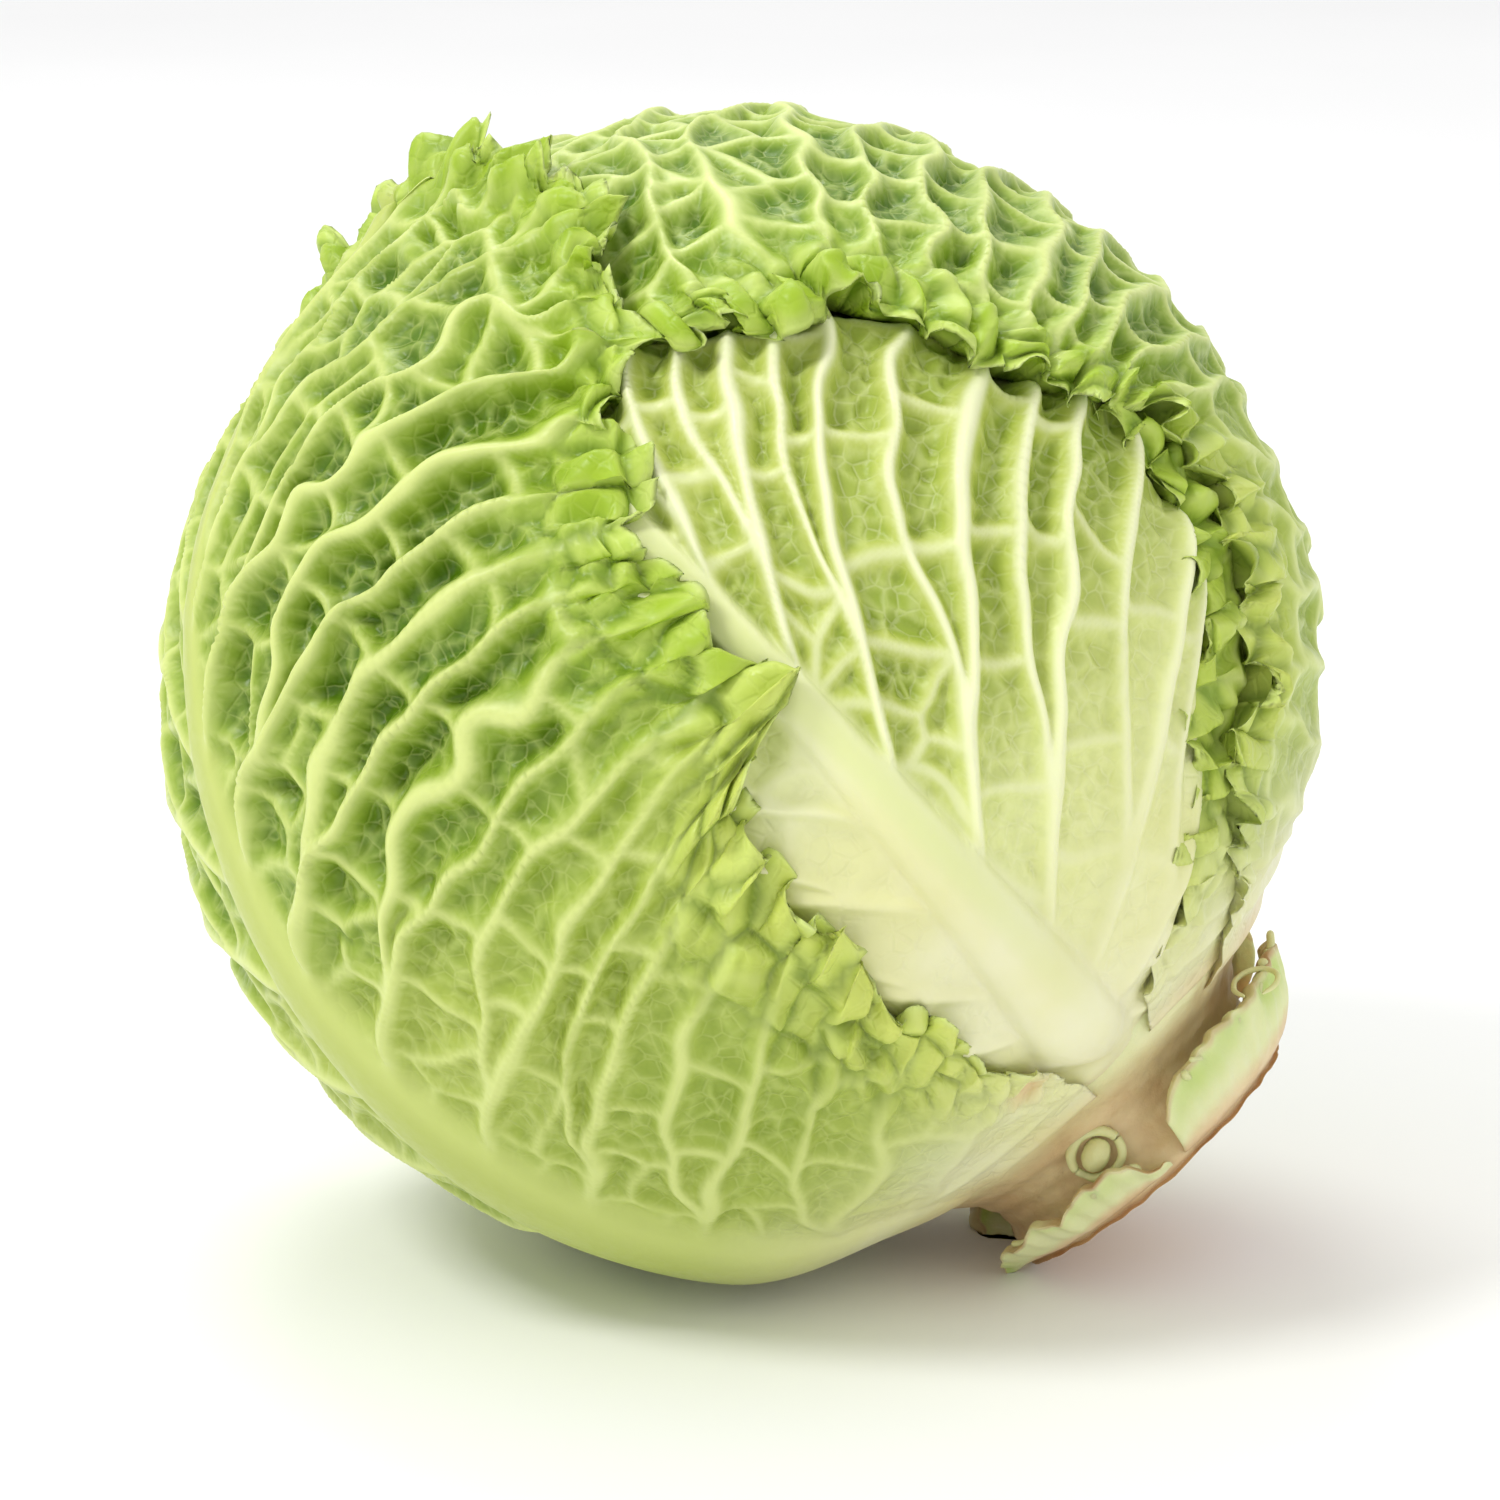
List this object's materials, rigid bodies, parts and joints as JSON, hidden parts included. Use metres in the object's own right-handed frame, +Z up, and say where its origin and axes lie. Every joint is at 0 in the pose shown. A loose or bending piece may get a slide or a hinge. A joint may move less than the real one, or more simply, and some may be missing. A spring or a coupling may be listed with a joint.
{
  "type": "savoy cabbage head",
  "caption": "Trimmed savoy cabbage lying on its side: crinkled, veined leaves wrapped round a dense heart, frilled margins, and a cut stump with torn leaf stalks.",
  "frame": {"origin": "middle of the small flat spot under the head, on the surface that it rests on", "axes": "+Z up, -Y towards the front that the picture shows, +X to its right, where the stump lies low"},
  "size_m": [0.1822, 0.1944, 0.1801],
  "materials": {
    "outer_leaf": "waxy mid green with pale veins, satin",
    "inner_leaf": "waxy light green with pale veins, satin",
    "pale_leaf": "waxy cream green with near-white veins, satin",
    "stump": "fibrous cut stem, pale tan, matt"
  },
  "bodies": {
    "root": {"stump_and_heart": "stump", "leaf_left": "outer_leaf", "leaf_right": "outer_leaf", "leaf_inner_right": "inner_leaf", "leaf_back": "inner_leaf", "leaf_front": "pale_leaf"}
  },
  "joints": []
}
